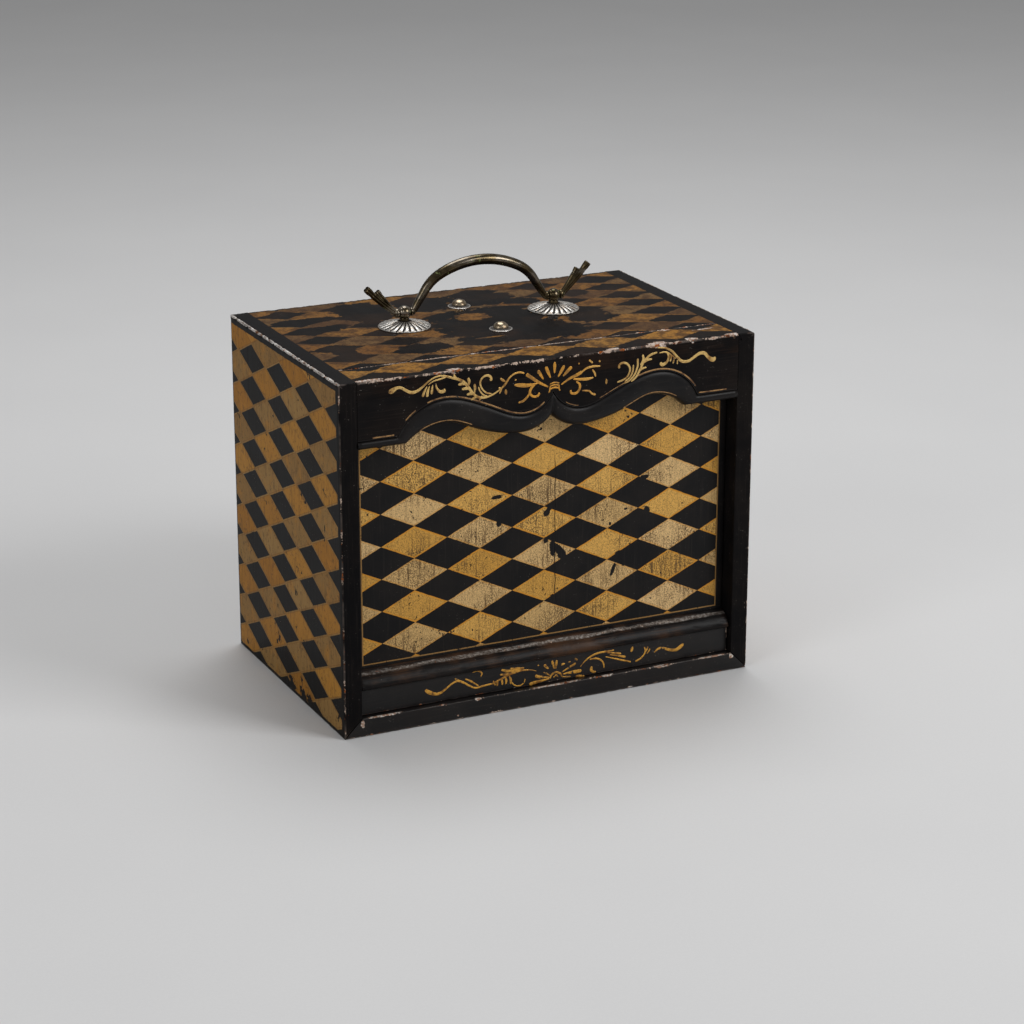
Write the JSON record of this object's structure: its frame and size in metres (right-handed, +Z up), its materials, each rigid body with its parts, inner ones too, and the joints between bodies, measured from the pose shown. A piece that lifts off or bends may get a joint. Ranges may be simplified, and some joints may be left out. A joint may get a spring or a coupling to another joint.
{
  "type": "lacquered box",
  "caption": "Upright black-lacquered case with a two-tone gold lozenge pattern, a shaped front apron, a lift-out front panel and a folding bronze bail handle.",
  "frame": {"origin": "centre of the box that bounds the object, on the surface that it stands on", "axes": "+X to the right seen from the front, -Y out of the front panel, +Z up"},
  "size_m": [0.303, 0.1982, 0.2871],
  "materials": {
    "black_lacquer": "black lacquer over softwood, painted with gold lozenges and scrolls, worn",
    "dark_bronze": "dark olive-brown patina, polished on the high spots",
    "silvered_copper": "worn silvering, dark in the flutes",
    "gilt_copper": "rubbed gilding",
    "bamboo": "bare split bamboo"
  },
  "bodies": {
    "case": {"left_side": "black_lacquer", "right_side": "black_lacquer", "bottom_board": "black_lacquer", "top_board": "black_lacquer", "front_top_rail": "black_lacquer", "back_board": "black_lacquer", "apron_board": "black_lacquer", "apron_moulding": "black_lacquer", "stop_strip_left": "black_lacquer", "stop_strip_right": "black_lacquer", "top_guide": "black_lacquer", "case_pegs": "bamboo", "rosette_left": "silvered_copper", "rosette_right": "silvered_copper", "handle_post_left": "dark_bronze", "handle_post_right": "dark_bronze", "rove_left": "silvered_copper", "rove_right": "silvered_copper", "stud_front": "gilt_copper", "stud_back": "gilt_copper", "stud_washer_front": "silvered_copper", "stud_washer_back": "silvered_copper"},
    "handle": {"handle_bail": "dark_bronze"},
    "front_panel": {"panel_board": "black_lacquer", "foot_rail": "black_lacquer", "panel_moulding": "black_lacquer", "panel_batten_lower": "black_lacquer", "panel_batten_upper": "black_lacquer", "batten_pegs": "bamboo"}
  },
  "joints": [
    {"name": "handle_fold", "type": "hinge", "parent": "case", "child": "handle", "pos_m": [0, 0.0166, 0.2524], "axis": [1, 0, 0], "range_deg": [-91, 91]},
    {"name": "panel_lift", "type": "slide", "parent": "case", "child": "front_panel", "axis": [0, 0, 1], "range_m": [0, 0.014]}
  ]
}
